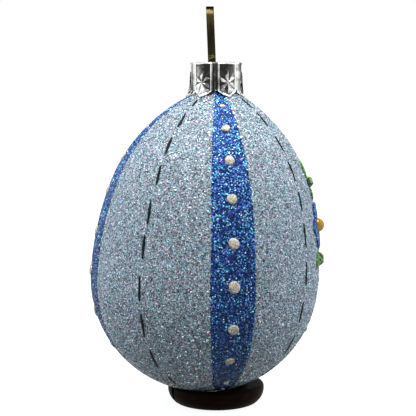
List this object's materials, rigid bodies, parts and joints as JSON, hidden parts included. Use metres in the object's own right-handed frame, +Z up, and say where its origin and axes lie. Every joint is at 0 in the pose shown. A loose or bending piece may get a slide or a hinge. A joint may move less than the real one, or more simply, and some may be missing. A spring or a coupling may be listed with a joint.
{
  "type": "decorated glass egg ornament",
  "caption": "Egg-shaped blown glass ornament with glitter bands, stitch lines and a floral relief, a pull-off metal cap with a strip hanger, and a split ring to stand in.",
  "frame": {"origin": "middle of the ring's foot, on the surface it stands on, below the neck", "axes": "+Z up along the neck and the ring's axis, -Y towards the front band, +X towards the floral panel"},
  "size_m": [0.0687, 0.0678, 0.116],
  "materials": {
    "ring_lacquer": "dark mahogany lacquer, glossy",
    "blown_glass": "blown glass, silvered inside",
    "pale_glitter": "fine ice-blue glitter in clear glue",
    "blue_glitter": "fine royal-blue glitter in clear glue",
    "champagne_glitter": "champagne glitter drops",
    "black_paint": "black brush paint",
    "petal_enamel": "cobalt enamel with glitter",
    "leaf_enamel": "leaf-green enamel with glitter",
    "green_glass": "foiled green glass stone",
    "amber_glass": "foiled amber glass stone",
    "cap_metal": "bright stamped sheet",
    "hanger_wire": "dark polished spring strip"
  },
  "bodies": {
    "stand": {"ring_stand": "ring_lacquer"},
    "egg": {"glass_egg": "blown_glass", "amber_stone_lower": "amber_glass", "amber_stone_rear": "amber_glass", "amber_stone_right": "amber_glass", "blue_band_back": "blue_glitter", "blue_band_front": "blue_glitter", "blue_band_left": "blue_glitter", "dots_back": "champagne_glitter", "dots_front": "champagne_glitter", "dots_left": "champagne_glitter", "green_stone_middle_rear": "green_glass", "green_stone_middle_right": "green_glass", "green_stone_side_rear": "green_glass", "green_stone_side_right": "green_glass", "green_stone_upper_rear": "green_glass", "green_stone_upper_right": "green_glass", "leaf_middle_rear": "leaf_enamel", "leaf_middle_right": "leaf_enamel", "leaf_shoulder_rear": "leaf_enamel", "leaf_shoulder_right": "leaf_enamel", "leaf_side_rear": "leaf_enamel", "leaf_side_right": "leaf_enamel", "leaf_upper_rear": "leaf_enamel", "leaf_upper_right": "leaf_enamel", "pale_field_back": "pale_glitter", "pale_field_floral": "pale_glitter", "pale_field_left": "pale_glitter", "petals_lower": "petal_enamel", "petals_rear": "petal_enamel", "petals_right": "petal_enamel", "stitches_back_left": "black_paint", "stitches_back_right": "black_paint", "stitches_left": "black_paint", "stitches_right": "black_paint"},
    "cap": {"cap": "cap_metal"},
    "hanger": {"hanger": "hanger_wire"}
  },
  "joints": [
    {"name": "egg_lift", "type": "slide", "parent": "stand", "child": "egg", "axis": [0, 0, 1], "range_m": [0, 0.04]},
    {"name": "cap_pull", "type": "slide", "parent": "egg", "child": "cap", "axis": [0, 0, 1], "range_m": [0, 0.024]},
    {"name": "hanger_draw", "type": "slide", "parent": "cap", "child": "hanger", "axis": [0, 0, 1], "range_m": [0, 0.004]}
  ]
}
